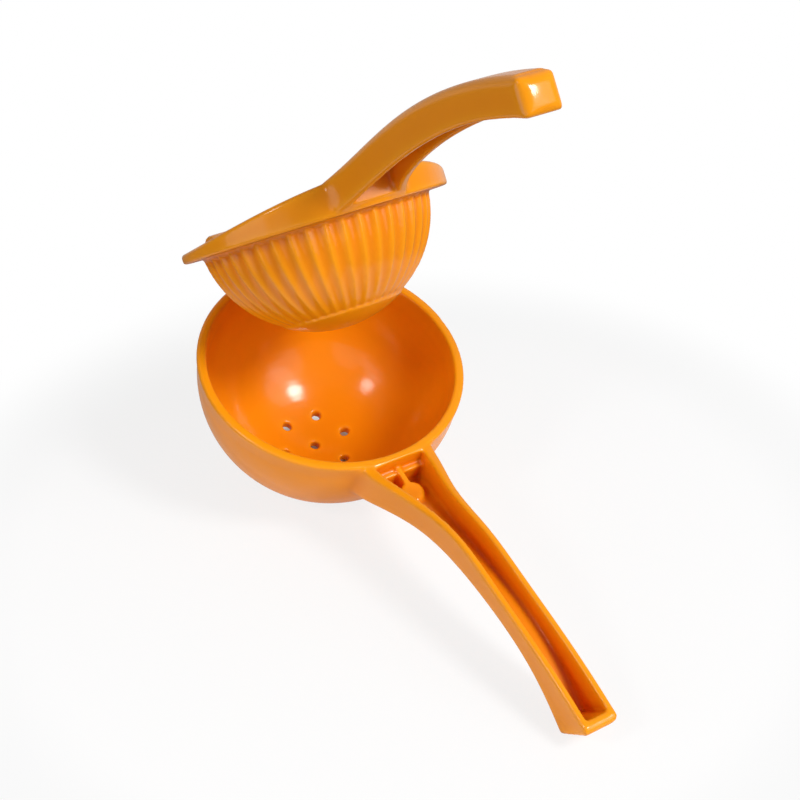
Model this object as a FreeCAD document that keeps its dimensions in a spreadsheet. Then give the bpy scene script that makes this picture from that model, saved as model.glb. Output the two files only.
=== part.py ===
"""Hinged citrus squeezer: two cast levers on one pin.

The lower casting is a round cup with drain holes, a channelled handle and a hinge bracket.
The upper casting is a fluted press dome with a flange, a skirt, a channelled handle and the
hinge barrel. A steel pin joins them. Both castings are drawn in the frame of the shut tool:
origin at the centre of the cup's rim, +X to the handles, +Z out of the cup. The lower one is
then tilted so that it stands on the cup and the tip of its handle, and the upper one is opened.
All sizes are in millimetres and degrees.
"""
import FreeCAD, Part
import math
import os
import re

import Sketcher

SIZES = [
    ("rim_radius", 48.5, "outside radius of the cup's rim"),
    ("cup_wall", 3.5, "wall of the cup"),
    ("cup_radius", 47.9, "outside radius of the cup's round bottom"),
    ("cup_drop", 6.2, "centre of that round below the rim"),
    ("rim_edge", 0.9, "rounding of the rim's two edges"),
    ("drain_radius", 1.7, "drain hole"),
    ("drain_circle", 12.9, "circle of the outer drain holes"),
    ("drain_count", 6, "drain holes on that circle"),
    ("drain_turn", 30, "the first of them, degrees from the handle"),
    ("hinge_back", 60.2, "hinge axis behind the centre of the rim"),
    ("hinge_drop", 1.2, "hinge axis below the rim"),
    ("knuckle_radius", 5.5, "round end of the hinge bracket"),
    ("knuckle_half", 9.0, "half the width of the hinge bracket"),
    ("knuckle_bore", 2.08, "bore of the knuckle, running on the pin"),
    ("bracket_foot", 17.0, "where the bracket's underside meets the cup, below the rim"),
    ("bracket_root", 5.0, "how far the bracket is drawn into the cup's wall"),
    ("bracket_turn", 83, "where its underside leaves the round end, degrees below level"),
    ("pin_radius", 2.0, "hinge pin"),
    ("pin_half", 15.7, "half the length of the pin"),
    ("pin_edge", 0.4, "bevel of the pin's ends"),
    ("grip_half", 6.4, "half the width of the slim part of either handle"),
    ("root_flare", 7.6, "what each half width gains at the cup"),
    ("low_flare_length", 24.0, "how far the lower handle's flare reaches"),
    ("low_rise", 13.2, "height of the lower handle's top above the rim"),
    ("low_rise_start", 42.0, "where that rise starts"),
    ("low_rise_length", 60.0, "length of that rise"),
    ("low_crest", 130.0, "where the lower handle starts to droop"),
    ("low_droop", 0.0018, "droop past the crest, per mm squared"),
    ("arch_top", 3.1, "highest point of the lower handle's arched underside"),
    ("arch_middle", 125.0, "place of that point"),
    ("arch_to_cup", 0.0034, "fall of the arch toward the cup, per mm squared"),
    ("arch_to_tip", 0.0078, "fall of the arch toward the tip, per mm squared"),
    ("low_root", 43.0, "where the lower handle starts, inside the cup's wall"),
    ("handle_round", 3.0, "rounding of the lower handle's two lower edges"),
    ("wall_round", 0.9, "rounding of the edges where two handles face each other"),
    ("low_sink", 0.15, "what the lower handle's top stays under the rim at its root"),
    ("low_tip", 168.75, "top corner of the lower handle's slanted end"),
    ("end_round", 1.88, "rounding of the lower handle's end at its top"),
    ("end_reach", 3.0, "how far that rounding runs along the top and down the end"),
    ("end_corner", 3.0, "rounding of both handles' ends, seen from above"),
    ("low_tip_slant", 56.5, "slope of that end"),
    ("end_cut", 40.0, "reach of the cut that gives the end its slope"),
    ("low_channel_start", 48.0, "end of the channel at the cup"),
    ("low_end_wall", 4.5, "wall at the tip's end of the channel"),
    ("end_wall_depth", 17.0, "length of that wall down its slope"),
    ("low_floor", 3.0, "floor of the channel"),
    ("channel_share", 0.76, "half width of a channel over that of its handle, and"),
    ("channel_inset", 0.8, "what is then taken off it for the wall"),
    ("channel_round", 1.5, "rounding between a channel's floor and its walls"),
    ("spare_round", 0.5, "rounding of a channel's section where it is clear of the metal"),
    ("boss_place", 58.9, "round boss in the channel"),
    ("boss_radius", 4.4, "radius of the boss"),
    ("boss_edge", 1.2, "rounding of its top edge"),
    ("boss_top", 5.5, "top of the boss below the rim"),
    ("rib_width", 2.0, "rib from the boss to the cup"),
    ("rib_top", 4.4, "top of the rib below the rim"),
    ("rib_dip", 0.3, "how far the rib's end lies under the top of the boss"),
    ("ledge_top", 5.8, "ledge at the channel's end, below the rim"),
    ("ledge_width", 2.4, "width of that ledge"),
    ("flange_gap", 0.3, "flange above the rim when the levers are parallel"),
    ("flange_plate", 3.0, "thickness of the flange"),
    ("skirt_radius", 47.4, "outside radius of the skirt"),
    ("skirt_wall", 2.6, "wall of the skirt"),
    ("skirt_low", 3.8, "height of the skirt at the hinge"),
    ("skirt_bend", 210.0, "radius of its rise to the handle, seen from the side"),
    ("skirt_start", -12.0, "where that rise starts"),
    ("skirt_high", 18.0, "height that the skirt is drawn to before its top is cut"),
    ("skirt_cut", 52.0, "how far out that cut reaches"),
    ("dome_radius", 40.8, "outside radius of the press dome"),
    ("dome_rise", 4.3, "centre of the dome above the rim"),
    ("dome_wall", 3.0, "wall of the dome"),
    ("flute_count", 42, "flutes round the dome"),
    ("flute_radius", 3.6, "radius of a flute's section"),
    ("flute_depth", 1.25, "depth of a flute at the flange"),
    ("flute_shift", 0.62, "how much shallower a flute would get at the pole"),
    ("flute_top", 83.9, "where a flute starts, degrees from the dome's lowest point"),
    ("flute_end", 32.0, "where it ends, degrees from there"),
    ("up_root", 43.0, "where the upper handle starts, inside the skirt"),
    ("up_flare_start", 45.0, "where the upper handle has its whole flare"),
    ("up_flare_length", 14.5, "how fast that flare fades"),
    ("up_top", 24.2, "highest point of the upper handle"),
    ("up_top_place", 112.0, "place of that point"),
    ("up_top_to_cup", 0.0026, "fall of its back toward the skirt, per mm squared"),
    ("up_top_to_tip", 0.0024, "fall of its back toward the tip, per mm squared"),
    ("up_edge", 12.9, "highest point of its lower edges"),
    ("up_edge_place", 118.0, "place of that point"),
    ("up_edge_to_cup", 0.0022, "fall of its lower edges toward the skirt, per mm squared"),
    ("up_edge_to_tip", 0.0035, "fall of its lower edges toward the tip, per mm squared"),
    ("up_tip", 156.2, "end of the upper handle"),
    ("up_channel_start", 48.2, "end of its channel at the skirt"),
    ("up_channel_end", 150.6, "end of its channel at the tip"),
    ("back_round", 2.8, "rounding of its back's two edges"),
    ("tip_round", 3.0, "rounding round the upper handle's end"),
    ("up_roof", 3.4, "thickness of its back"),
    ("barrel_radius", 9.8, "outside of the hinge barrel on the upper casting"),
    ("barrel_half", 16.0, "half the width of that barrel"),
    ("barrel_lead", 25, "where its round starts, degrees before upright"),
    ("barrel_end", 10, "where its round ends, degrees above level"),
    ("barrel_bore", 6.4, "room for the knuckle inside it"),
    ("barrel_gap", 9.4, "half the width of that room"),
    ("lug_radius", 6.2, "round lower side of the two lugs"),
    ("barrel_front", 42.0, "where the barrel's front runs out on the flange, behind the rim's centre"),
    ("skirt_edge", 1.3, "rounding of the skirt's outer top edge"),
    ("tilt", 18.2, "tilt of the lower casting as it stands"),
    ("opening", 51.2, "angle between the castings as they stand"),
    ("rest_flat", 0.32, "depth of the flat that the cup stands on"),
    ("merge", 1.0, "how far a rib or a wall runs into the metal beside it"),
    ("over", 8.0, "how far a cut passes over the metal"),
    ("shift_x", -47.27, "shift along X that centres the standing tool over the origin"),
]
SECTIONS = 10  # steps of a loft along a handle

doc = FreeCAD.newDocument("hinged_squeezer")
sheet = doc.addObject("Spreadsheet::Sheet", "sizes")
for row, (alias, value, note) in enumerate(SIZES, start=1):
    sheet.set(f"A{row}", note)
    sheet.set(f"B{row}", str(value))
    sheet.setAlias(f"B{row}", alias)
doc.recompute()
ALIASES = {alias for alias, _, _ in SIZES}


def cell(words):
    """An expression in plain aliases, with each alias led to its cell of the sheet."""
    return re.sub(r"[a-z]\w*", lambda m: f"sizes.{m[0]}" if m[0] in ALIASES else m[0], str(words))


def number(words):
    """The value of such an expression."""
    return float(sheet.evalExpression(cell(words)))


def origin_part(body, role):
    return next(part for part in body.Origin.OriginFeatures if part.Role == role)


def new_body(name):
    body = doc.addObject("PartDesign::Body", name)
    body.Label = name
    return body


def new_sketch(body, name, plane, offset=None):
    """A sketch on one of the body's own planes, or that far along the plane's normal."""
    sketch = body.newObject("Sketcher::SketchObject", name)
    sketch.AttachmentSupport = [(origin_part(body, plane), "")]
    sketch.MapMode = "FlatFace"
    if offset:
        sketch.setExpression("AttachmentOffset.Base.z", cell(offset))
    return sketch


def trace(sketch, corners):
    """A closed outline, every corner tied to the sheet. A corner is (x, y) or (x, y, radius).
    A radius bends the edge that leaves the corner, out to the right of its way, or to the
    left where the radius has a minus sign."""
    places = [FreeCAD.Vector(number(corner[0]), number(corner[1]), 0) for corner in corners]
    ends = []
    for index, corner in enumerate(corners):
        start, stop = places[index], places[(index + 1) % len(corners)]
        if len(corner) == 2:
            sketch.addGeometry(Part.LineSegment(start, stop))
            ends.append((1, 2))
            continue
        words = str(corner[2])
        turn = -1 if words.startswith("-") else 1
        radius = number(words.lstrip("-"))
        chord = stop - start
        rise = radius - math.sqrt(radius ** 2 - chord.Length ** 2 / 4)
        middle = (start + stop) / 2 + FreeCAD.Vector(chord.y, -chord.x, 0).normalize() * turn * rise
        arc = Part.Arc(start, middle, stop) if turn > 0 else Part.Arc(stop, middle, start)
        sketch.addGeometry(arc)
        ends.append((1, 2) if turn > 0 else (2, 1))
    for index, corner in enumerate(corners):
        following = (index + 1) % len(corners)
        sketch.addConstraint(Sketcher.Constraint(
            "Coincident", index, ends[index][1], following, ends[following][0]))
        for kind, words in (("DistanceX", corner[0]), ("DistanceY", corner[1])):
            tie = sketch.addConstraint(Sketcher.Constraint(
                kind, -1, 1, index, ends[index][0], number(words)))
            sketch.setExpression(f"Constraints[{tie}]", cell(words))
        if len(corner) == 3:
            words = str(corner[2]).lstrip("-")
            tie = sketch.addConstraint(Sketcher.Constraint("Radius", index, number(words)))
            sketch.setExpression(f"Constraints[{tie}]", cell(words))
    return sketch


def ring(sketch, x, y, radius):
    """A circle tied to the sheet."""
    at = FreeCAD.Vector(number(x), number(y), 0)
    index = sketch.addGeometry(Part.Circle(at, FreeCAD.Vector(0, 0, 1), number(radius)))
    for kind, words in (("DistanceX", x), ("DistanceY", y)):
        tie = sketch.addConstraint(Sketcher.Constraint(kind, -1, 1, index, 3, number(words)))
        sketch.setExpression(f"Constraints[{tie}]", cell(words))
    tie = sketch.addConstraint(Sketcher.Constraint("Radius", index, number(radius)))
    sketch.setExpression(f"Constraints[{tie}]", cell(radius))
    return sketch


def feature(body, kind, name, sketch, **settings):
    """A PartDesign feature on a sketch. A setting given as words is bound to the sheet."""
    made = body.newObject(f"PartDesign::{kind}", name)
    made.Profile = sketch
    for key, value in settings.items():
        if isinstance(value, str) and key in ("Length", "Angle"):
            made.setExpression(key, cell(value))
        else:
            setattr(made, key, value)
    sketch.Visibility = False
    doc.recompute()
    return made


def turned(body, kind, name, sketch):
    """A full turn of a sketch about its own upright axis, added or cut away."""
    return feature(body, kind, name, sketch, ReferenceAxis=(sketch, ["V_Axis"]), Angle=360)


def across(body, kind, name, sketch, half):
    """A side view pushed out to both sides, to the given half width."""
    return feature(body, kind, name, sketch, SideType="Symmetric", Length=f"2 * ({half})")


def beam(body, kind, name, start, stop, section):
    """A loft through sections along X. section(x) gives the corners at x as expressions."""
    sketches = []
    for index in range(SECTIONS + 1):
        place = f"({start} + ({stop} - {start}) * {index} / {SECTIONS})"
        sketch = new_sketch(body, f"{name}_section_{index}", "YZ_Plane", place)
        sketches.append(trace(sketch, section(place)))
    made = body.newObject(f"PartDesign::{kind}", name)
    made.Profile = sketches[0]
    made.Sections = sketches[1:]
    doc.recompute()
    return made


def round_edges(body, name, radius, wanted):
    """Rounds the edges of the body that wanted(edge) picks."""
    base = body.Tip
    names = [f"Edge{i}" for i, edge in enumerate(base.Shape.Edges, start=1) if wanted(edge)]
    made = body.newObject("PartDesign::Fillet", name)
    made.Base = (base, names)
    made.setExpression("Radius", cell(radius))
    doc.recompute()
    return made


def soft_corners(body, name, place, half, radius, lean):
    """Rounds both upright corners of a handle's end face, which stands at the given place
    and leans back by the given angle."""
    for side in ("-", ""):
        turn = radius if side else f"-{radius}"
        plan = new_sketch(body, f"{name}_{'right' if side else 'left'}_plan", "XY_Plane")
        plan.AttachmentOffset = FreeCAD.Placement(
            FreeCAD.Vector(0, 0, 0), FreeCAD.Rotation(FreeCAD.Vector(0, 1, 0), 1))
        plan.setExpression("AttachmentOffset.Rotation.Angle", cell(lean))
        trace(plan, [
            (f"{place} - {radius}", f"{side}({half})", turn),
            (place, f"{side}({half} - {radius})"),
            (f"{place} + over", f"{side}({half} - {radius})"),
            (f"{place} + over", f"{side}({half} + over)"),
            (f"{place} - {radius}", f"{side}({half} + over)"),
        ])
        across(body, "Pocket", f"{name}_{'right' if side else 'left'}", plan, "low_tip")


def rounded(half, low, high, low_round, high_round):
    """A section with upright sides, four rounded corners and the given half width."""
    return [
        (f"-({half}) + {low_round}", low),
        (f"{half} - {low_round}", low, low_round),
        (half, f"{low} + {low_round}"),
        (half, f"{high} - {high_round}", high_round),
        (f"{half} - {high_round}", high),
        (f"-({half}) + {high_round}", high, high_round),
        (f"-({half})", f"{high} - {high_round}"),
        (f"-({half})", f"{low} + {low_round}", low_round),
    ]


def low_half(x):
    return f"(grip_half + root_flare * exp(0 - (({x} - low_root) / low_flare_length)^2))"


def low_top(x):
    share = f"min(1; max(0; ({x} - low_rise_start) / low_rise_length))"
    return (f"(low_rise * (1 - cos(180 * {share})) / 2 - low_sink"
            f" - low_droop * max(0; {x} - low_crest)^2)")


def low_bottom(x):
    fall = f"({x} < arch_middle ? arch_to_cup : arch_to_tip)"
    return f"(arch_top - {fall} * ({x} - arch_middle)^2)"


def up_half(x):
    return f"(grip_half + root_flare * exp(-({x} - up_flare_start) / up_flare_length))"


def up_back(x):
    fall = f"({x} < up_top_place ? up_top_to_cup : up_top_to_tip)"
    return f"(up_top - {fall} * ({x} - up_top_place)^2)"


def up_edges(x):
    fall = f"({x} < up_edge_place ? up_edge_to_cup : up_edge_to_tip)"
    return f"(up_edge - {fall} * ({x} - up_edge_place)^2)"


def channel_half(half):
    return f"({half} * channel_share - channel_inset)"


def build_lower():
    """Cup, channelled handle and hinge bracket, cast in one."""
    body = new_body("lower_casting")
    turned(body, "Revolution", "cup", trace(new_sketch(body, "cup_outside", "XZ_Plane"), [
        ("0", "-cup_drop - cup_radius", "cup_radius"),
        ("cup_radius", "-cup_drop"),
        ("rim_radius", "-rim_edge", "rim_edge"),
        ("rim_radius - rim_edge", "0"),
        ("0", "0"),
    ]))
    beam(body, "AdditiveLoft", "handle", "low_root", "(low_tip + low_end_wall)",
         lambda x: rounded(low_half(x), low_bottom(x), low_top(x),
                           "handle_round", "wall_round"))
    beam(body, "SubtractiveLoft", "channel", "low_channel_start", "(low_tip + over)",
         lambda x: rounded(channel_half(low_half(x)), f"{low_bottom(x)} + low_floor",
                           f"{low_top(x)} + over", "channel_round", "spare_round"))
    boss_floor = f"{low_bottom('boss_place')} + low_floor / 2"
    boss = new_sketch(body, "boss_side", "XZ_Plane")
    boss.setExpression("AttachmentOffset.Base.x", cell("boss_place"))
    turned(body, "Revolution", "boss", trace(boss, [
        ("0", boss_floor),
        ("boss_radius", boss_floor),
        ("boss_radius", "-boss_top - boss_edge", "boss_edge"),
        ("boss_radius - boss_edge", "-boss_top"),
        ("0", "-boss_top"),
    ]))
    rib = trace(new_sketch(body, "rib_side", "XZ_Plane"), [
        ("low_channel_start - merge", "-rib_top"),
        ("low_channel_start - merge", f"{low_bottom('low_channel_start')} + low_floor / 2"),
        ("boss_place", boss_floor),
        ("boss_place", "-boss_top - rib_dip"),
    ])
    across(body, "Pad", "rib", rib, "rib_width / 2")
    ledge = trace(new_sketch(body, "ledge_side", "XZ_Plane"), [
        ("low_channel_start - merge", "-ledge_top"),
        ("low_channel_start - merge", f"{low_bottom('low_channel_start')} + low_floor / 2"),
        ("low_channel_start + ledge_width", f"{low_bottom('low_channel_start')} + low_floor / 2"),
        ("low_channel_start + ledge_width", "-ledge_top"),
    ])
    across(body, "Pad", "ledge", ledge, f"{channel_half(low_half('low_channel_start'))} + merge")
    tip = low_top("low_tip")
    inner = "low_tip - low_end_wall"
    foot = f"{tip} - end_wall_depth * sin(low_tip_slant)"
    wall = trace(new_sketch(body, "end_wall_side", "XZ_Plane"), [
        (inner, low_top(f"({inner})")),
        (f"{inner} - end_wall_depth * cos(low_tip_slant)", foot),
        ("low_tip", foot),
        ("low_tip + merge", low_top("(low_tip + merge)")),
    ])
    across(body, "Pad", "end_wall", wall, f"{channel_half(low_half('low_tip'))} + merge")
    end = trace(new_sketch(body, "handle_end_side", "XZ_Plane"), [
        ("low_tip - end_cut * cos(low_tip_slant)", f"{tip} - end_cut * sin(low_tip_slant)"),
        ("low_tip + end_cut", f"{tip} - end_cut * sin(low_tip_slant)"),
        ("low_tip + end_cut", f"{tip} + over"),
        ("low_tip - end_reach", f"{tip} + over"),
        ("low_tip - end_reach", low_top("(low_tip - end_reach)"), "-end_round"),
        ("low_tip - end_reach * cos(low_tip_slant)",
         f"{tip} - end_reach * sin(low_tip_slant)"),
    ])
    across(body, "Pocket", "handle_end", end, "3 * grip_half")
    soft_corners(body, "end_corners", f"low_tip * sin(low_tip_slant) - {tip} * cos(low_tip_slant)",
                 low_half("low_tip"), "end_corner", "90 - low_tip_slant")
    bracket = trace(new_sketch(body, "bracket_side", "XZ_Plane"), [
        ("-rim_radius + bracket_root", "-flange_gap"),
        ("-hinge_back + sqrt(knuckle_radius^2 - (hinge_drop - flange_gap)^2)", "-flange_gap",
         "knuckle_radius"),
        ("-hinge_back - knuckle_radius", "-hinge_drop", "knuckle_radius"),
        ("-hinge_back + knuckle_radius * cos(bracket_turn)",
         "-hinge_drop - knuckle_radius * sin(bracket_turn)"),
        ("-rim_radius + bracket_root", "-bracket_foot"),
    ])
    across(body, "Pad", "bracket", bracket, "knuckle_half")
    bore = ring(new_sketch(body, "bore_side", "XZ_Plane"),
                "-hinge_back", "-hinge_drop", "knuckle_bore")
    across(body, "Pocket", "bore", bore, "2 * knuckle_half")
    inside = "rim_radius - cup_wall"
    turned(body, "Groove", "bowl", trace(new_sketch(body, "bowl_side", "XZ_Plane"), [
        ("0", "over"),
        ("0", "-cup_drop - cup_radius + cup_wall", "cup_radius - cup_wall"),
        ("cup_radius - cup_wall", "-cup_drop"),
        (inside, "-rim_edge", "-rim_edge"),
        (f"{inside} + rim_edge", "0"),
        (f"{inside} + rim_edge", "over"),
    ]))
    drain = new_sketch(body, "drain_plan", "XY_Plane", "-cup_radius / 2")
    ring(drain, "0", "0", "drain_radius")
    for hole in range(int(number("drain_count"))):
        turn = f"drain_turn + 360 / drain_count * {hole}"
        ring(drain, f"drain_circle * cos({turn})", f"drain_circle * sin({turn})", "drain_radius")
    feature(body, "Pocket", "drain_holes", drain, Type="ThroughAll")
    level = "(cup_drop * cos(tilt) + cup_radius - rest_flat)"
    ground = trace(new_sketch(body, "ground_line", "XZ_Plane"), [
        ("-low_tip", f"(0 - low_tip * sin(tilt) - {level}) / cos(tilt)"),
        ("-low_tip", "-low_tip"),
        ("2 * low_tip", "-low_tip"),
        ("2 * low_tip", f"(2 * low_tip * sin(tilt) - {level}) / cos(tilt)"),
    ])
    across(body, "Pocket", "rest_flats", ground, "2 * rim_radius")
    return body


def build_upper():
    """Press dome, flange, skirt, channelled handle and hinge barrel, cast in one."""
    body = new_body("upper_casting")
    crown = "skirt_low + skirt_bend"
    turned(body, "Revolution", "dome", trace(new_sketch(body, "dome_outside", "XZ_Plane"), [
        ("0", "dome_rise - dome_radius", "dome_radius"),
        ("sqrt(dome_radius^2 - (dome_rise - flange_gap)^2)", "flange_gap"),
        ("skirt_radius - rim_edge", "flange_gap", "rim_edge"),
        ("skirt_radius", "flange_gap + rim_edge"),
        ("skirt_radius", "skirt_high"),
        ("0", "skirt_high"),
    ]))
    over = trace(new_sketch(body, "skirt_top_side", "XZ_Plane"), [
        ("-skirt_cut", "skirt_low"),
        ("skirt_start", "skirt_low", "skirt_bend"),
        ("skirt_cut", f"{crown} - sqrt(skirt_bend^2 - (skirt_cut - skirt_start)^2)"),
        ("skirt_cut", "skirt_high + over"),
        ("-skirt_cut", "skirt_high + over"),
    ])
    across(body, "Pocket", "skirt_top", over, "2 * rim_radius")
    round_edges(body, "skirt_rounding", "skirt_edge", lambda edge: (
        edge.BoundBox.ZMin > number("skirt_low / 2") and edge.Length > number("skirt_high")))
    flute = new_sketch(body, "flute_section", "XY_Plane", "dome_rise - flute_shift")
    flute.AttachmentOffset = FreeCAD.Placement(
        flute.AttachmentOffset.Base, FreeCAD.Rotation(FreeCAD.Vector(0, 1, 0), 1))
    flute.setExpression("AttachmentOffset.Rotation.Angle", cell("90 - flute_top"))
    ring(flute, "dome_radius + flute_radius - flute_depth", "0", "flute_radius")
    groove = feature(body, "Groove", "flute", flute, ReferenceAxis=(flute, ["V_Axis"]),
                     Angle="flute_top - flute_end")
    row = body.newObject("PartDesign::PolarPattern", "flutes")
    row.Originals = [groove]
    row.Axis = (origin_part(body, "Z_Axis"), [""])
    row.Angle = 360
    row.setExpression("Occurrences", cell("flute_count"))
    body.Tip = row
    doc.recompute()
    beam(body, "AdditiveLoft", "handle_bar", "up_root", "up_tip", lambda x: rounded(
        up_half(x), up_edges(x), up_back(x), "wall_round", "back_round"))
    tip_low, tip_high = up_edges("up_tip"), up_back("up_tip")
    for name, level, way in (("tip_back", tip_high, "+"), ("tip_edge", tip_low, "-")):
        other = "-" if way == "+" else "+"
        turn = "-tip_round" if way == "+" else "tip_round"
        corner = trace(new_sketch(body, f"{name}_side", "XZ_Plane"), [
            ("up_tip - tip_round", level, turn),
            ("up_tip", f"{level} {other} tip_round"),
            ("up_tip + over", f"{level} {other} tip_round"),
            ("up_tip + over", f"{level} {way} over"),
            ("up_tip - tip_round", f"{level} {way} over"),
        ])
        across(body, "Pocket", name, corner, "3 * grip_half")
    soft_corners(body, "tip_corners", "up_tip", up_half("up_tip"), "end_corner", "0")
    beam(body, "SubtractiveLoft", "handle_channel", "up_channel_start", "up_channel_end",
         lambda x: rounded(channel_half(up_half(x)), f"{up_edges(x)} - over",
                           f"{up_back(x)} - up_roof", "spare_round", "channel_round"))
    axis_x, axis_z = "(0 - hinge_back)", "(0 - hinge_drop)"
    low_start = "sqrt(lug_radius^2 - (hinge_drop + flange_gap)^2)"
    barrel = trace(new_sketch(body, "barrel_side", "XZ_Plane"), [
        ("-barrel_front", "flange_gap"),
        ("-barrel_front", "flange_gap + flange_plate"),
        (f"{axis_x} + barrel_radius * sin(barrel_lead)",
         f"{axis_z} + barrel_radius * cos(barrel_lead)", "barrel_radius"),
        (f"{axis_x} - barrel_radius * cos(barrel_end)",
         f"{axis_z} + barrel_radius * sin(barrel_end)"),
        (f"{axis_x} - lug_radius * cos(barrel_end)", f"{axis_z} + lug_radius * sin(barrel_end)",
         "lug_radius"),
        (axis_x, f"{axis_z} - lug_radius", "lug_radius"),
        (f"{axis_x} + {low_start}", "flange_gap"),
    ])
    across(body, "Pad", "barrel", barrel, "barrel_half")
    room = trace(new_sketch(body, "knuckle_room_side", "XZ_Plane"), [
        (f"{axis_x} + barrel_bore", axis_z, "barrel_bore"),
        (f"{axis_x} - barrel_bore * cos(barrel_end)",
         f"{axis_z} + barrel_bore * sin(barrel_end)"),
        (f"{axis_x} - 2 * barrel_radius", f"{axis_z} + barrel_bore * sin(barrel_end)"),
        (f"{axis_x} - 2 * barrel_radius", "-2 * barrel_radius"),
        (f"{axis_x} + barrel_bore", "-2 * barrel_radius"),
    ])
    across(body, "Pocket", "knuckle_room", room, "barrel_gap")
    hole = ring(new_sketch(body, "pin_hole_side", "XZ_Plane"),
                "-hinge_back", "-hinge_drop", "pin_radius")
    across(body, "Pocket", "pin_hole", hole, "2 * barrel_half")
    inside = "(dome_radius - dome_wall)"
    plate = "flange_gap + flange_plate"
    turned(body, "Groove", "hollow", trace(new_sketch(body, "hollow_side", "XZ_Plane"), [
        ("0", "up_top + over"),
        ("0", f"dome_rise - {inside}", inside),
        (f"sqrt({inside}^2 - (dome_rise - {plate})^2)", plate),
        ("skirt_radius - skirt_wall", plate),
        ("skirt_radius - skirt_wall", "up_top + over"),
    ]))
    return body


def build_pin():
    """Steel pin, pressed into the lugs of the upper casting."""
    body = new_body("hinge_pin")
    side = ring(new_sketch(body, "pin_side", "XZ_Plane"), "0", "0", "pin_radius")
    across(body, "Pad", "pin", side, "pin_half")
    edges = [f"Edge{i}" for i, edge in enumerate(body.Tip.Shape.Edges, start=1)
             if len(edge.Vertexes) == 1]
    plain = body.Tip
    bevel = body.newObject("PartDesign::Chamfer", "pin_bevels")
    bevel.Base = (plain, edges)
    bevel.setExpression("Size", cell("pin_edge"))
    doc.recompute()
    return body


def stand(body, angle, x, z):
    """Stands a body in the part's frame: a turn about +Y and a shift, both from the sheet."""
    body.Placement = FreeCAD.Placement(
        FreeCAD.Vector(0, 0, 0), FreeCAD.Rotation(FreeCAD.Vector(0, 1, 0), 1))
    body.setExpression("Placement.Rotation.Angle", cell(angle))
    body.setExpression("Placement.Base.x", cell(x))
    body.setExpression("Placement.Base.z", cell(z))


lower = build_lower()
upper = build_upper()
pin = build_pin()
rest_height = "(cup_drop * cos(tilt) + cup_radius - rest_flat)"
hinge_x = "(shift_x - hinge_back * cos(tilt) - hinge_drop * sin(tilt))"
hinge_z = f"({rest_height} + hinge_back * sin(tilt) - hinge_drop * cos(tilt))"
turn = "(tilt - opening)"
stand(lower, "tilt", "shift_x", rest_height)
stand(upper, turn, f"{hinge_x} + hinge_back * cos({turn}) + hinge_drop * sin({turn})",
      f"{hinge_z} - hinge_back * sin({turn}) + hinge_drop * cos({turn})")
stand(pin, turn, hinge_x, hinge_z)
doc.recompute()

for made in doc.Objects:
    failed = {"Invalid", "Error"} & set(made.State)
    assert not failed, f"{made.Name}: {made.getStatusString()}"
os.makedirs("parts", exist_ok=True)
for node in (lower, upper, pin):
    shape = node.Shape
    assert not shape.isNull() and shape.isValid(), node.Label
    assert len(shape.Solids) == 1, node.Label
    shape.exportStep(f"parts/{node.Label}.step")
    box = shape.BoundBox
    print(f"{node.Label}: volume {shape.Volume / 1000:.1f} cm3, X {box.XMin:.2f} to {box.XMax:.2f},"
          f" Y {box.YMin:.2f} to {box.YMax:.2f}, Z {box.ZMin:.2f} to {box.ZMax:.2f}")
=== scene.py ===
"""The looks of a hinged citrus squeezer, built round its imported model.

Two orange enamelled castings turn on one steel pin. Each casting's skin is worked out from its
solid, with the soft inner corners that the mould leaves, and gets the enamel's finish.
"""

import math

import bmesh
import bpy
import numpy as np
from mathutils import Matrix, Vector


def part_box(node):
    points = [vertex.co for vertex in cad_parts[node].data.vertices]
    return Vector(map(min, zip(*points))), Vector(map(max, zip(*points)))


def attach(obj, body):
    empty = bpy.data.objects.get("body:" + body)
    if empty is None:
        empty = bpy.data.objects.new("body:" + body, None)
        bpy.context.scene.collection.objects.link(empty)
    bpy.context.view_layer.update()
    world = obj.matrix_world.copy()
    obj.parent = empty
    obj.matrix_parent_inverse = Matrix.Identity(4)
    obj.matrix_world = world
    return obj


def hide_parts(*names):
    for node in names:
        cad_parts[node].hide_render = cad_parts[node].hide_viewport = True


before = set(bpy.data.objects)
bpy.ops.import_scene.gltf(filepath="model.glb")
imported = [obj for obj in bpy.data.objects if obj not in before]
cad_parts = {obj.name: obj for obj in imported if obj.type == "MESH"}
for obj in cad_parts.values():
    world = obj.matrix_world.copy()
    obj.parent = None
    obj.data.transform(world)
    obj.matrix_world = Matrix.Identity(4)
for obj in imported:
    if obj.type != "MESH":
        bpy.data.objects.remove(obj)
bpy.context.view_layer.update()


# Lower casting: the cup with its drain holes, the channelled handle and the hinge bracket.
# Die-cast aluminium, so its edges are a little round and the handle grows out of the cup with a
# fillet. It is dipped in glossy orange enamel, which pulls thin over the edges. Its colour also
# carries painted shade in the hollows and a painted highlight on the edges.
class Value:
    """An output of a node. Sums with it add Math nodes to its finish."""

    def __init__(self, finish, socket):
        self.finish = finish
        self.socket = socket

    def sum(self, operation, first, second):
        return self.finish.node("ShaderNodeMath", {"operation": operation}, {0: first, 1: second})

    def __add__(self, other):
        return self.sum("ADD", self, other)

    def __rsub__(self, other):
        return self.sum("SUBTRACT", other, self)

    def __mul__(self, other):
        return self.sum("MULTIPLY", self, other)


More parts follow.
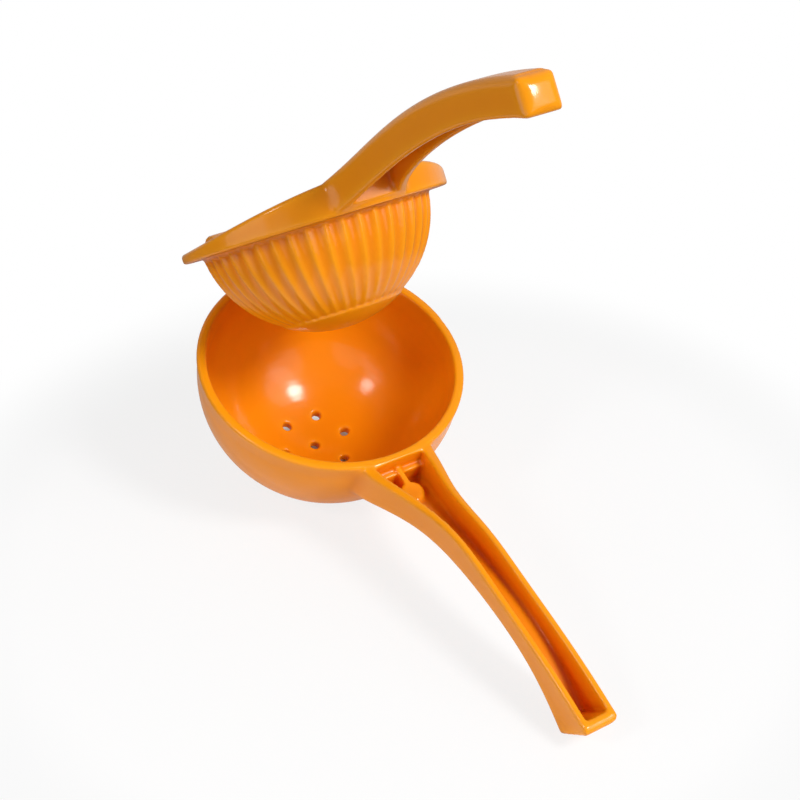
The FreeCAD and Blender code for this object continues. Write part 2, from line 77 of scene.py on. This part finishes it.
class Finish:
    """The nodes of a material or of the world, made one by one."""

    def __init__(self, owner):
        self.owner = owner
        self.owner.use_nodes = True
        self.tree = self.owner.node_tree
        self.tree.nodes.clear()

    def node(self, kind, settings=None, inputs=None, output=0):
        """A node of that type, with its settings, then the values or links of its sockets."""
        made = self.tree.nodes.new(kind)
        for key, value in (settings or {}).items():
            setattr(made, key, value)
        for key, value in (inputs or {}).items():
            if isinstance(value, Value):
                self.tree.links.new(value.socket, made.inputs[key])
            else:
                made.inputs[key].default_value = value
        return Value(self, made.outputs[output] if made.outputs else None)

    def mix(self, factor, first, second):
        """A blend of two colours."""
        first_colour, second_colour, blended_colour = 6, 7, 2
        return self.node("ShaderNodeMix", {"data_type": "RGBA"}, {
            "Factor": factor, first_colour: first, second_colour: second}, blended_colour)

    def noise(self, place, per_metre, detail, rough=0.5):
        """Even mottling from 0 to 1, with so many grains to a metre."""
        return self.node("ShaderNodeTexNoise", None, {
            "Vector": place, "Scale": per_metre, "Detail": detail, "Roughness": rough})

    def show(self, shader, end="ShaderNodeOutputMaterial"):
        self.node(end, None, {"Surface": shader})
        return self.owner


def enamel():
    """Baked enamel over cast metal: an even orange, deeper where it ran together and with painted
    shade in the hollows, thinner and lighter on the edges, where the lighter colour is partly a
    painted highlight, with the faint grain of the casting under a glossy skin."""
    body_colour = (0.880, 0.282, 0.002, 1)
    pooled_and_shade_colour = (0.740, 0.165, 0.001, 1)
    thin_and_highlight_colour = (0.920, 0.340, 0.006, 1)
    pooled_and_shade_in_hollows = 0.55
    pooled_in_clouds = 0.16
    thin_and_highlight_on_edges = 0.5
    least_rough = 0.40
    smear_rough = 0.12
    grain_height = 0.35
    finish = Finish(bpy.data.materials.new("orange_enamel"))
    place = finish.node("ShaderNodeTexCoord", output="Object")
    edge = finish.node("ShaderNodeAttribute", {"attribute_name": "edge"}, output="Fac")
    clouds = finish.noise(place, per_metre=38, detail=3)
    smears = finish.noise(place, per_metre=70, detail=4, rough=0.6)
    peel = finish.noise(place, per_metre=260, detail=3)
    grain = finish.noise(place, per_metre=900, detail=2)
    on_edge = finish.node("ShaderNodeClamp", None, {"Value": edge})
    in_hollow = finish.node("ShaderNodeClamp", None, {"Value": 0 - edge})
    # Painted shade: the colour deepens in the hollows, where shade falls, as well as where the
    # enamel pooled. The clouds are the enamel's own uneven tone.
    pooled_and_shade = in_hollow * pooled_and_shade_in_hollows + clouds * pooled_in_clouds
    colour = finish.mix(pooled_and_shade, body_colour, pooled_and_shade_colour)
    # Painted highlight: the edges turn lighter and yellower, partly from the thinner enamel there.
    colour = finish.mix(on_edge * thin_and_highlight_on_edges, colour, thin_and_highlight_colour)
    bump = finish.node("ShaderNodeBump", None, {
        "Strength": 0.16, "Distance": 0.0002,
        "Height": grain * grain_height + peel * (1 - grain_height)})
    return finish.show(finish.node("ShaderNodeBsdfPrincipled", None, {
        "Base Color": colour,
        "Roughness": smears * smear_rough + least_rough,
        "Specular IOR Level": 0.05,
        "Coat Weight": 0.62,
        "Coat Roughness": 0.16,
        "Coat IOR": 1.5,
        "Normal": bump,
    }))


def weights_near(points, spots):
    """The largest share that any spot gives a point. A spot is a centre, a reach and the share
    that holds within half that reach, and fades to 0 at the reach."""
    most = np.zeros(len(points))
    for centre, reach, share in spots:
        part = np.clip(2 - 2 * np.linalg.norm(points - np.array(centre), axis=1) / reach, 0, 1)
        most = np.maximum(most, share * part * part * (3 - 2 * part))
    return most


def neighbours_mean(values, ends, count):
    """For each point, the mean of the values at the far ends of its edges."""
    both = np.concatenate([ends, ends[:, ::-1]])
    sums = np.stack([np.bincount(both[:, 0], values[both[:, 1], axis], count)
                     for axis in range(values.shape[1])], axis=1)
    return sums / np.bincount(both[:, 0], minlength=count)[:, None]


def read(items, name, width):
    """One number or vector of every vertex or edge, as an array."""
    flat = np.zeros(len(items) * width, np.int32 if name == "vertices" else np.float32)
    items.foreach_get(name, flat)
    return flat.reshape(-1, width)


def casting_frame(rim, tilt):
    """Gives the place of a point told in millimetres from the centre of the rim: along the
    handle, to the left side, and out of the cup. The frame leans by that tilt."""
    lean = math.radians(tilt)

    def place(along, left, out):
        return Vector((rim[0] + (along * math.cos(lean) + out * math.sin(lean)) / 1000,
                       left / 1000,
                       rim[1] + (out * math.cos(lean) - along * math.sin(lean)) / 1000))

    return place


def keep_bore(points):
    """Moves the points that the smoothing brought too near the hinge pin back off it."""
    low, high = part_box("hinge_pin")
    axis = np.array([(low.x + high.x) / 2, (low.z + high.z) / 2])
    air = 0.00013
    clear = (high.x - low.x) / 2 + air
    out = points[:, [0, 2]] - axis
    far = np.linalg.norm(out, axis=1)[:, None]
    points[:, [0, 2]] = axis + out * np.maximum(1, clear / far)


def put_back(mesh, points):
    """Gives the mesh its moved points, and tells the way each of them faces."""
    mesh.vertices.foreach_set("co", points.astype(np.float32).ravel())
    mesh.update()
    return read(mesh.vertex_normals, "vector", 3)


def cast_skin(node, body, fillets, soft_ends, finish_shape):
    """The casting's skin from its solid: an even net of small faces with every edge a little
    round. The inner corners fill up near the spots in fillets, and the whole shape is
    smoothed near the spots in soft_ends. The last touch is finish_shape's."""
    net = 0.0005
    edge_round = 0.0011
    inner_round = 0.0052
    end_round = 0.0018
    rounding_passes, fillet_passes, softening_passes = (
        round((width / net) ** 2) for width in (edge_round, inner_round, end_round))
    same_place = 1e-6
    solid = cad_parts[node].data.copy()
    weld = bmesh.new()
    weld.from_mesh(solid)
    bmesh.ops.remove_doubles(weld, verts=weld.verts, dist=same_place)
    weld.to_mesh(solid)
    weld.free()
    rough = bpy.data.objects.new("rough", solid)
    bpy.context.scene.collection.objects.link(rough)
    remesh = rough.modifiers.new("net", "REMESH")
    remesh.mode = "VOXEL"
    remesh.voxel_size = net
    rounding = rough.modifiers.new("rounding", "SMOOTH")
    rounding.iterations = rounding_passes
    mesh = bpy.data.meshes.new_from_object(
        rough.evaluated_get(bpy.context.evaluated_depsgraph_get()))
    bpy.data.objects.remove(rough)

    points = read(mesh.vertices, "co", 3).astype(float)
    ends = read(mesh.edges, "vertices", 2)
    count = len(points)
    fill = weights_near(points, fillets)
    soften = weights_near(points, soft_ends)
    stride = 0.5
    steps_between_looks = 10
    for step in range(fillet_passes):
        if step % steps_between_looks == 0:
            normals = put_back(mesh, points)
        pull = neighbours_mean(points, ends, count) - points
        inward = np.einsum("ij,ij->i", pull, normals) > 0
        points += pull * (stride * fill * inward)[:, None]
        if step < softening_passes:
            points += pull * (stride * soften)[:, None]
    finish_shape(points)
    normals = put_back(mesh, points)

    # The edge value, plus on convex edges and minus in hollows, drives the enamel's painted
    # highlight on edges and painted shade in hollows.
    edge_passes = 12
    blur_passes = 4
    full_bulge = 0.35 * net
    spread = points
    for _ in range(edge_passes):
        spread = neighbours_mean(spread, ends, count)
    bulge = np.einsum("ij,ij->i", points - spread, normals)[:, None]
    for _ in range(blur_passes):
        bulge = neighbours_mean(bulge, ends, count)
    edge = mesh.attributes.new("edge", "FLOAT", "POINT")
    edge.data.foreach_set("value", np.clip(bulge / full_bulge, -1, 1).astype(np.float32).ravel())
    mesh.polygons.foreach_set("use_smooth", [True] * len(mesh.polygons))
    skin = bpy.data.objects.new(f"{node}_skin", mesh)
    bpy.context.scene.collection.objects.link(skin)
    mesh.materials.clear()
    mesh.materials.append(enamel_material)
    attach(skin, body)
    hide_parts(node)


enamel_material = enamel()
on_lower = casting_frame((-0.04727, 0.05347), 18.2)
cast_skin("lower_casting", "lower",
          fillets=[(on_lower(46, 17, -8), 0.010, 1), (on_lower(46, -17, -8), 0.010, 1),
                   (on_lower(44, 0, -22), 0.014, 1)],
          soft_ends=[(on_lower(169, 7, 10), 0.012, 0.25), (on_lower(169, -7, 10), 0.012, 0.25)],
          finish_shape=keep_bore)


# Upper casting: the press dome with its ring of flutes, the flange and skirt that cover the cup,
# the channelled handle and the cover over the hinge with its two lugs. Cast and enamelled like
# the lower one.
def dome_end(points):
    """Domes the flat end of the handle round its middle: it swells along the way it faces."""
    middle = np.array(on_upper(156.2, 0, 13.7))
    out = np.array((on_upper(1, 0, 0) - on_upper(0, 0, 0)).normalized())
    reach = 0.0068
    swell = 0.0005
    skin_depth = 0.0012
    along = (points - middle) @ out
    aside = np.linalg.norm(points - middle - along[:, None] * out, axis=1)
    near = np.clip(1 - (aside / reach) ** 2, 0, 1) ** 2 * np.clip(1 + along / skin_depth, 0, 1)
    points += (swell * near)[:, None] * out


on_upper = casting_frame((-0.0550, 0.10493), -33)
cast_skin("upper_casting", "upper",
          fillets=[(on_upper(48, 17, 6), 0.014, 1), (on_upper(48, -17, 6), 0.014, 1),
                   (on_upper(44, 0, 14), 0.014, 1)],
          soft_ends=[(on_upper(156, 0, 14), 0.018, 0.5)],
          finish_shape=dome_end)


# Hinge pin: plain turned steel, pressed through both lugs and left bare, so its ends show as
# two small bright discs on the sides of the hinge.
def steel():
    """Turned steel: a fine grain, duller in some places than in others."""
    bright_grey = (0.56, 0.56, 0.57, 1)
    dull_grey = (0.42, 0.42, 0.43, 1)
    least_rough = 0.22
    dull_rough = 0.2
    finish = Finish(bpy.data.materials.new("turned_steel"))
    place = finish.node("ShaderNodeTexCoord", output="Object")
    grain = finish.noise(place, per_metre=2500, detail=2)
    dull = finish.noise(place, per_metre=500, detail=3)
    bump = finish.node("ShaderNodeBump", None, {
        "Strength": 0.2, "Distance": 0.00005, "Height": grain})
    return finish.show(finish.node("ShaderNodeBsdfPrincipled", None, {
        "Base Color": finish.mix(dull, bright_grey, dull_grey),
        "Metallic": 1.0,
        "Roughness": dull * dull_rough + least_rough,
        "Normal": bump,
    }))


def turned_pin():
    """A lathed pin: straight body, bevelled and slightly hollowed ends."""
    low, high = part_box("hinge_pin")
    centre = (low + high) / 2
    radius = (high.x - low.x) / 2
    half = (high.y - low.y) / 2
    bevel = 0.0004
    dimple = 0.0002
    dimple_points = ((0, dimple), (radius * 0.45, dimple * 0.7), (radius * 0.62, 0))
    profile = [(r, half - depth) for r, depth in dimple_points]
    bevel_steps = 4
    for step in range(bevel_steps + 1):
        turn = step / bevel_steps * math.pi / 2
        profile.append((radius - bevel * (1 - math.sin(turn)), half - bevel * (1 - math.cos(turn))))
    profile += [(r, -y) for r, y in reversed(profile)]
    sides = 64
    same_place = 1e-7
    made = bmesh.new()
    rings = []
    for r, y in profile:
        rings.append([made.verts.new((centre.x + r * math.cos(math.tau * k / sides), y,
                                      centre.z + r * math.sin(math.tau * k / sides)))
                      for k in range(sides)])
    for ring, following in zip(rings, rings[1:]):
        for k in range(sides):
            after = (k + 1) % sides
            made.faces.new((ring[k], ring[after], following[after], following[k]))
    bmesh.ops.remove_doubles(made, verts=made.verts, dist=same_place)
    bmesh.ops.recalc_face_normals(made, faces=made.faces)
    mesh = bpy.data.meshes.new("pin_turned")
    made.to_mesh(mesh)
    made.free()
    mesh.polygons.foreach_set("use_smooth", [True] * len(mesh.polygons))
    least_sharp = math.radians(35)
    mesh.set_sharp_from_angle(angle=least_sharp)
    pin = bpy.data.objects.new("pin_turned", mesh)
    bpy.context.scene.collection.objects.link(pin)
    mesh.materials.append(steel())
    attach(pin, "upper")
    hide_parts("hinge_pin")


turned_pin()


# The stand: a plain pale floor, white to the eye, that keeps a soft shadow. As a light it is a
# pale patch round the squeezer on a darker table, with a white wall behind.
def rises(value, start, stop):
    """0 up to the start and 1 from the stop, smooth between them."""
    return value.finish.node("ShaderNodeMapRange", {"interpolation_type": "SMOOTHSTEP"}, {
        "Value": value, "From Min": start, "From Max": stop})


def share_behind(finish, place, start, stop):
    """From 0 to 1 on the way to the wall behind the squeezer."""
    to_the_wall = (-0.85, 0.53, 0)
    along = finish.node("ShaderNodeVectorMath", {"operation": "DOT_PRODUCT"}, {
        0: place, 1: to_the_wall}, "Value")
    return rises(along, start, stop)


def rays(finish):
    """1 for what the eye meets, straight or through something clear, and 1 for what shows in
    a glossy surface."""
    straight, clear, glossy = (
        finish.node("ShaderNodeLightPath", output=name)
        for name in ("Is Camera Ray", "Is Transmission Ray", "Is Glossy Ray"))
    return straight + clear, glossy


def pale_floor():
    """A pale patch on a darker table. Under the cup's foot it is matt to the eye as well."""
    pale = (0.86, 0.86, 0.86, 1)
    dim = (0.12, 0.12, 0.12, 1)
    eye_on_patch = 0.80
    gloss_on_patch = 0.20
    gloss_lost_off_patch = 0.16
    gloss_gained_behind = 0.35
    under_cup = (-0.0665, 0.0015, 0)
    finish = Finish(bpy.data.materials.new("pale_floor"))
    eye, glossy = rays(finish)
    place = finish.node("ShaderNodeTexCoord", output="Object")
    from_middle = finish.node("ShaderNodeVectorMath", {"operation": "LENGTH"}, {
        0: place}, "Value")
    from_foot = finish.node("ShaderNodeVectorMath", {"operation": "DISTANCE"}, {
        0: place, 1: under_cup}, "Value")
    off_patch = rises(from_middle, start=0.13, stop=0.20)
    off_foot = rises(from_foot, start=0.014, stop=0.026)
    behind = share_behind(finish, place, start=0.16, stop=0.45)
    dark = off_patch * (1 - behind)
    matt = finish.node("ShaderNodeBsdfDiffuse", None, {"Color": finish.mix(dark, pale, dim)})
    white = finish.node("ShaderNodeEmission", None, {"Color": (1, 1, 1, 1), "Strength": 1.0})
    to_the_eye = eye * (off_patch * (1 - eye_on_patch) + eye_on_patch)
    to_the_gloss = glossy * (
        gloss_on_patch - dark * gloss_lost_off_patch + behind * gloss_gained_behind)
    share, first_shader, second_shader = 0, 1, 2
    return finish.show(finish.node("ShaderNodeMixShader", None, {
        share: (to_the_eye + to_the_gloss) * off_foot, first_shader: matt, second_shader: white}))


def lay_floor():
    half = 3.0
    made = bmesh.new()
    bmesh.ops.create_grid(made, x_segments=8, y_segments=8, size=half)
    mesh = bpy.data.meshes.new("floor")
    made.to_mesh(mesh)
    made.free()
    floor = bpy.data.objects.new("floor", mesh)
    bpy.context.scene.collection.objects.link(floor)
    mesh.materials.append(pale_floor())


def light_surround():
    """White to the eye. As a light it is a wall behind the squeezer, in a dim room."""
    world = bpy.data.worlds.new("surround")
    bpy.context.scene.world = world
    room_strength = 0.12
    wall_strength = 0.32
    gloss_strength = 0.08
    light = Finish(world)
    eye, glossy = rays(light)
    direction = light.node("ShaderNodeTexCoord", output="Generated")
    wall = share_behind(light, direction, start=0.1, stop=0.9) * wall_strength
    strength = wall + room_strength + glossy * gloss_strength + eye * (1 - room_strength - wall)
    white = light.node("ShaderNodeBackground", None, {"Color": (1, 1, 1, 1), "Strength": strength})
    light.show(white, "ShaderNodeOutputWorld")


def hang_lamp(name, way, distance, size, watts):
    """A round soft lamp that far off in that direction, turned to the squeezer."""
    heart = Vector((0, 0, 0.08))
    lamp = bpy.data.lights.new(name, "AREA")
    lamp.shape = "DISK"
    lamp.size = size
    lamp.energy = watts
    hung = bpy.data.objects.new(name, lamp)
    hung.location = heart + Vector(way).normalized() * distance
    hung.rotation_euler = (heart - hung.location).to_track_quat("-Z", "Y").to_euler()
    bpy.context.scene.collection.objects.link(hung)


lay_floor()
light_surround()
hang_lamp("lamp_front", way=(0.66, 0.29, 0.68), distance=1.2, size=0.32, watts=10.0)
hang_lamp("lamp_front_low", way=(0.85, 0.30, 0.30), distance=1.2, size=0.80, watts=2.0)
hang_lamp("lamp_right", way=(0.70, 0.50, 0.50), distance=1.2, size=0.80, watts=3.0)
hang_lamp("lamp_left", way=(0.105, -0.772, 0.627), distance=1.2, size=0.26, watts=2.8)
hang_lamp("lamp_left_near", way=(0, -1, 0.18), distance=0.42, size=0.30, watts=0.36)
hang_lamp("lamp_front_near", way=(0.58, -0.81, 0.17), distance=0.45, size=0.30, watts=0.20)


# The camera stands where the photograph's did, worked out from the cup's rim and its holes.
def set_camera():
    place = Vector((0.3716, -0.2325, 0.3741))
    aim = Vector((-0.0302, 0.0181, 0.0392))
    roll = math.radians(-0.34)
    lens = bpy.data.cameras.new("camera")
    lens.lens = 72
    lens.sensor_width = 36
    lens.clip_start = 0.01
    camera = bpy.data.objects.new("camera", lens)
    look = (aim - place).to_track_quat("-Z", "Y").to_matrix() @ Matrix.Rotation(roll, 3, "Z")
    camera.matrix_world = Matrix.Translation(place) @ look.to_4x4()
    bpy.context.scene.collection.objects.link(camera)
    bpy.context.scene.camera = camera


set_camera()
bpy.context.scene.view_settings.view_transform = "Standard"
